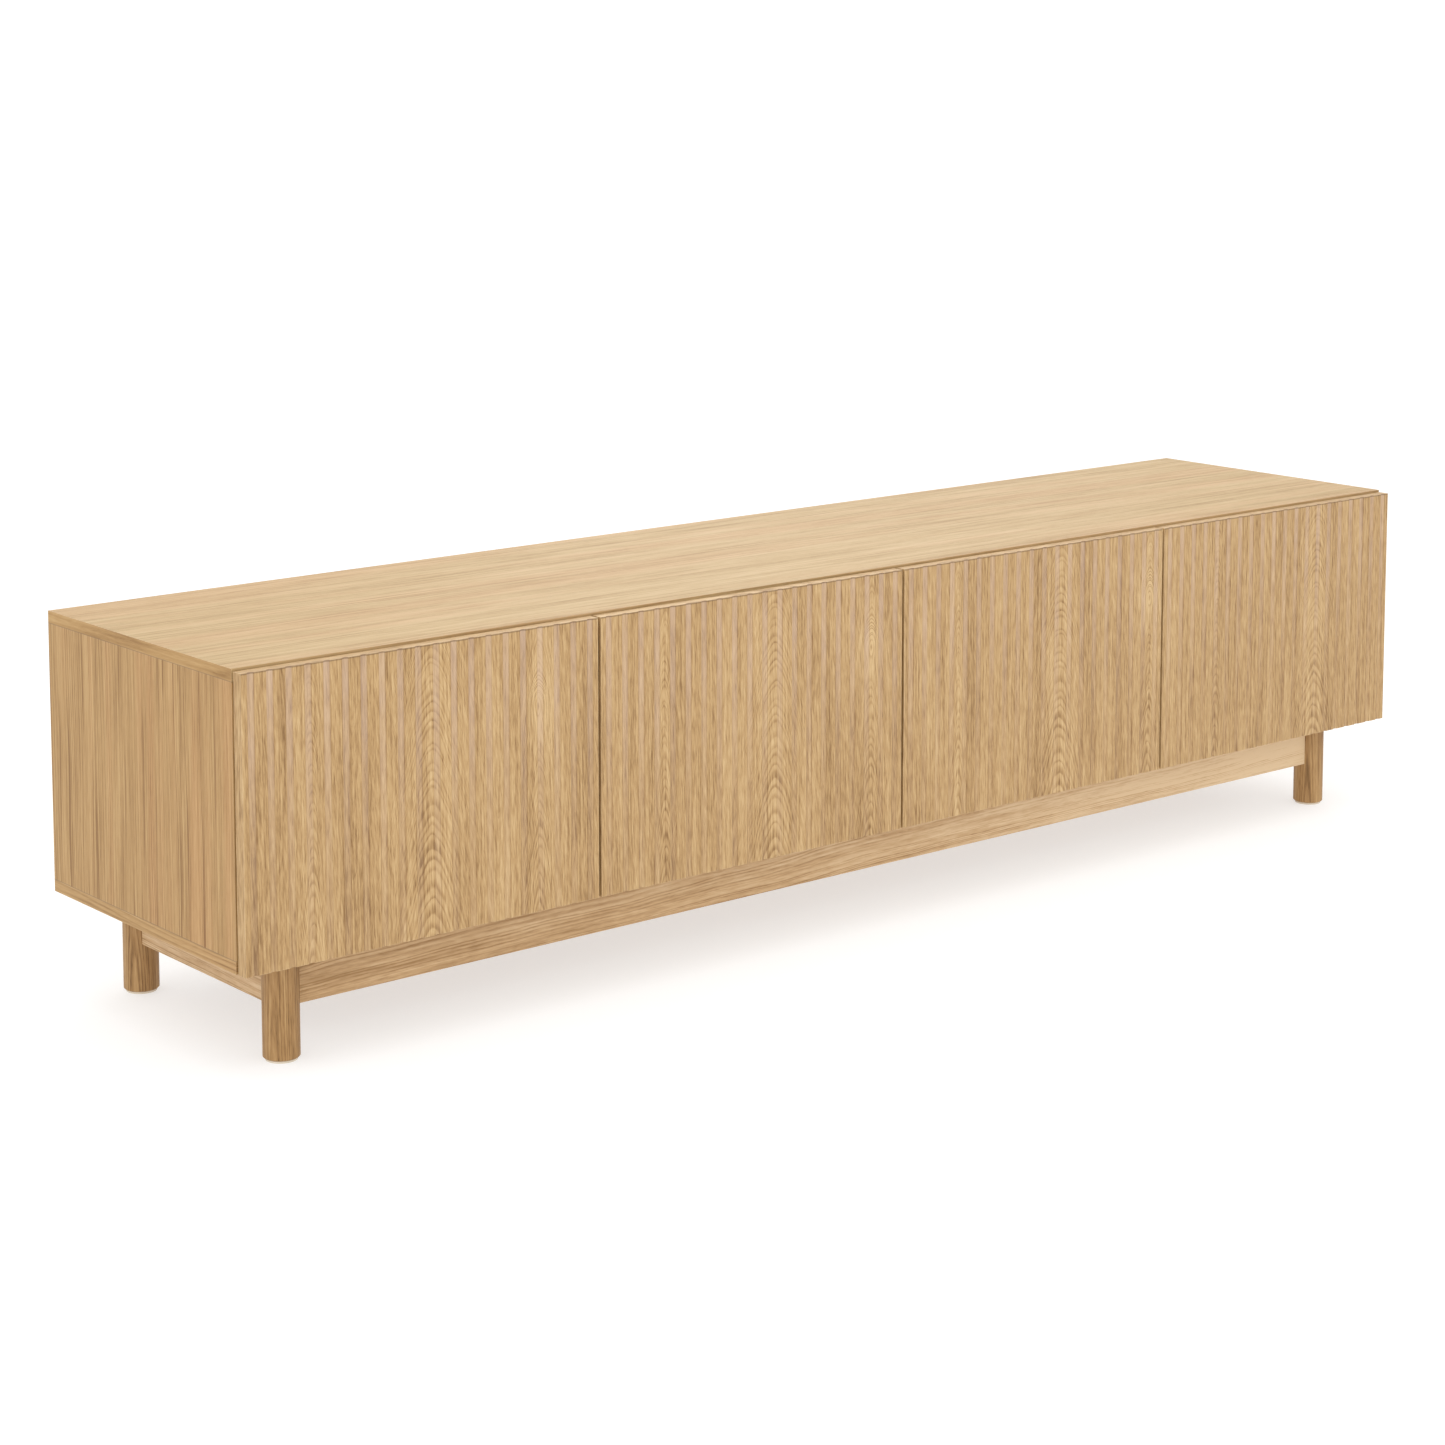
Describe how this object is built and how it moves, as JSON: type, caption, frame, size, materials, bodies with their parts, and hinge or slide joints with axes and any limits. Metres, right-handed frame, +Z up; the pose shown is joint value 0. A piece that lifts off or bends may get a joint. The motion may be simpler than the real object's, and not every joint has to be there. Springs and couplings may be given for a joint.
{
  "type": "media cabinet",
  "caption": "Low oak media cabinet with fluted push-to-open doors, shelves and cable holes, on a round-legged base frame.",
  "frame": {"origin": "on the floor under the middle of the cabinet, doors included", "axes": "+X along the length to the right seen from the front, -Y out of the front with the doors, +Z up"},
  "size_m": [2, 0.45, 0.48],
  "materials": {
    "door_veneer": "satin oak veneer on fluted board",
    "top_veneer": "satin light oak veneer",
    "board_veneer": "satin oak veneer",
    "back_board": "printed thin fibreboard",
    "solid_oak": "clear matt lacquer",
    "dowel_beech": "plain",
    "pale_plastic": "matt moulded",
    "clear_rubber": "soft translucent",
    "nickel_steel": "nickel-plated",
    "zinc_steel": "zinc-plated"
  },
  "bodies": {
    "carcass": {"top_panel": "top_veneer", "bottom_panel": "board_veneer", "side_panel_left": "board_veneer", "side_panel_right": "board_veneer", "centre_divider": "board_veneer", "partition_left": "board_veneer", "partition_right": "board_veneer", "back_panel_left": "back_board", "back_panel_right": "back_board", "back_panel_screws": "zinc_steel", "cable_grommets": "pale_plastic", "shelf_1": "board_veneer", "shelf_2": "board_veneer", "shelf_3": "board_veneer", "shelf_4": "board_veneer", "shelf_pins": "nickel_steel", "cam_locks": "nickel_steel", "cam_bolts": "zinc_steel", "carcass_dowels": "dowel_beech", "front_apron": "solid_oak", "rear_rail": "solid_oak", "side_rail_left": "solid_oak", "side_rail_right": "solid_oak", "cross_rail_left": "solid_oak", "cross_rail_right": "solid_oak", "leg_front_left": "solid_oak", "leg_front_right": "solid_oak", "leg_rear_left": "solid_oak", "leg_rear_right": "solid_oak", "rail_dowels": "dowel_beech", "rail_screws": "zinc_steel", "leg_inserts": "zinc_steel", "leg_bolts": "zinc_steel", "leg_glides": "pale_plastic", "hinge_plates": "nickel_steel", "hinge_plate_screws": "zinc_steel", "hinge_arms": "nickel_steel", "hinge_pins": "zinc_steel", "latch_housings": "pale_plastic", "door_bumpers": "clear_rubber"},
    "door_1": {"door_1": "door_veneer", "door_1_hinge_cups": "nickel_steel", "door_1_strike_plate": "nickel_steel"},
    "hinge_links_1": {"door_1_hinge_links": "nickel_steel"},
    "plunger_1": {"latch_1_plunger": "pale_plastic"},
    "door_2": {"door_2": "door_veneer", "door_2_hinge_cups": "nickel_steel", "door_2_strike_plate": "nickel_steel"},
    "hinge_links_2": {"door_2_hinge_links": "nickel_steel"},
    "plunger_2": {"latch_2_plunger": "pale_plastic"},
    "door_3": {"door_3": "door_veneer", "door_3_hinge_cups": "nickel_steel", "door_3_strike_plate": "nickel_steel"},
    "hinge_links_3": {"door_3_hinge_links": "nickel_steel"},
    "plunger_3": {"latch_3_plunger": "pale_plastic"},
    "door_4": {"door_4": "door_veneer", "door_4_hinge_cups": "nickel_steel", "door_4_strike_plate": "nickel_steel"},
    "hinge_links_4": {"door_4_hinge_links": "nickel_steel"},
    "plunger_4": {"latch_4_plunger": "pale_plastic"}
  },
  "joints": [
    {"name": "door_1_hinge", "type": "hinge", "parent": "carcass", "child": "door_1", "pos_m": [-0.994, -0.221, 0.3035], "axis": [0, 0, -1], "range_deg": [0, 95]},
    {"name": "hinge_links_1_turn", "type": "hinge", "parent": "carcass", "child": "hinge_links_1", "pos_m": [-0.966, -0.205, 0.3035], "axis": [0, 0, -1], "range_deg": [-20, 0]},
    {"name": "latch_1_travel", "type": "slide", "parent": "carcass", "child": "plunger_1", "axis": [0, -1, 0], "range_m": [0, 0.012]},
    {"name": "door_2_hinge", "type": "hinge", "parent": "carcass", "child": "door_2", "pos_m": [-0.007, -0.221, 0.3035], "axis": [0, 0, 1], "range_deg": [0, 90]},
    {"name": "hinge_links_2_turn", "type": "hinge", "parent": "carcass", "child": "hinge_links_2", "pos_m": [-0.035, -0.205, 0.3035], "axis": [0, 0, 1], "range_deg": [-20, 0]},
    {"name": "latch_2_travel", "type": "slide", "parent": "carcass", "child": "plunger_2", "axis": [0, -1, 0], "range_m": [0, 0.012]},
    {"name": "door_3_hinge", "type": "hinge", "parent": "carcass", "child": "door_3", "pos_m": [0.007, -0.221, 0.3035], "axis": [0, 0, -1], "range_deg": [0, 90]},
    {"name": "hinge_links_3_turn", "type": "hinge", "parent": "carcass", "child": "hinge_links_3", "pos_m": [0.035, -0.205, 0.3035], "axis": [0, 0, -1], "range_deg": [-20, 0]},
    {"name": "latch_3_travel", "type": "slide", "parent": "carcass", "child": "plunger_3", "axis": [0, -1, 0], "range_m": [0, 0.012]},
    {"name": "door_4_hinge", "type": "hinge", "parent": "carcass", "child": "door_4", "pos_m": [0.994, -0.221, 0.3035], "axis": [0, 0, 1], "range_deg": [0, 95]},
    {"name": "hinge_links_4_turn", "type": "hinge", "parent": "carcass", "child": "hinge_links_4", "pos_m": [0.966, -0.205, 0.3035], "axis": [0, 0, 1], "range_deg": [-20, 0]},
    {"name": "latch_4_travel", "type": "slide", "parent": "carcass", "child": "plunger_4", "axis": [0, -1, 0], "range_m": [0, 0.012]}
  ],
  "couplings": [
    {"joint": "hinge_links_1_turn", "follows": "door_1_hinge", "ratio": -0.2},
    {"joint": "latch_1_travel", "follows": "door_1_hinge", "m_per_rad": 0.007},
    {"joint": "hinge_links_2_turn", "follows": "door_2_hinge", "ratio": -0.2},
    {"joint": "latch_2_travel", "follows": "door_2_hinge", "m_per_rad": 0.007},
    {"joint": "hinge_links_3_turn", "follows": "door_3_hinge", "ratio": -0.2},
    {"joint": "latch_3_travel", "follows": "door_3_hinge", "m_per_rad": 0.007},
    {"joint": "hinge_links_4_turn", "follows": "door_4_hinge", "ratio": -0.2},
    {"joint": "latch_4_travel", "follows": "door_4_hinge", "m_per_rad": 0.007}
  ]
}
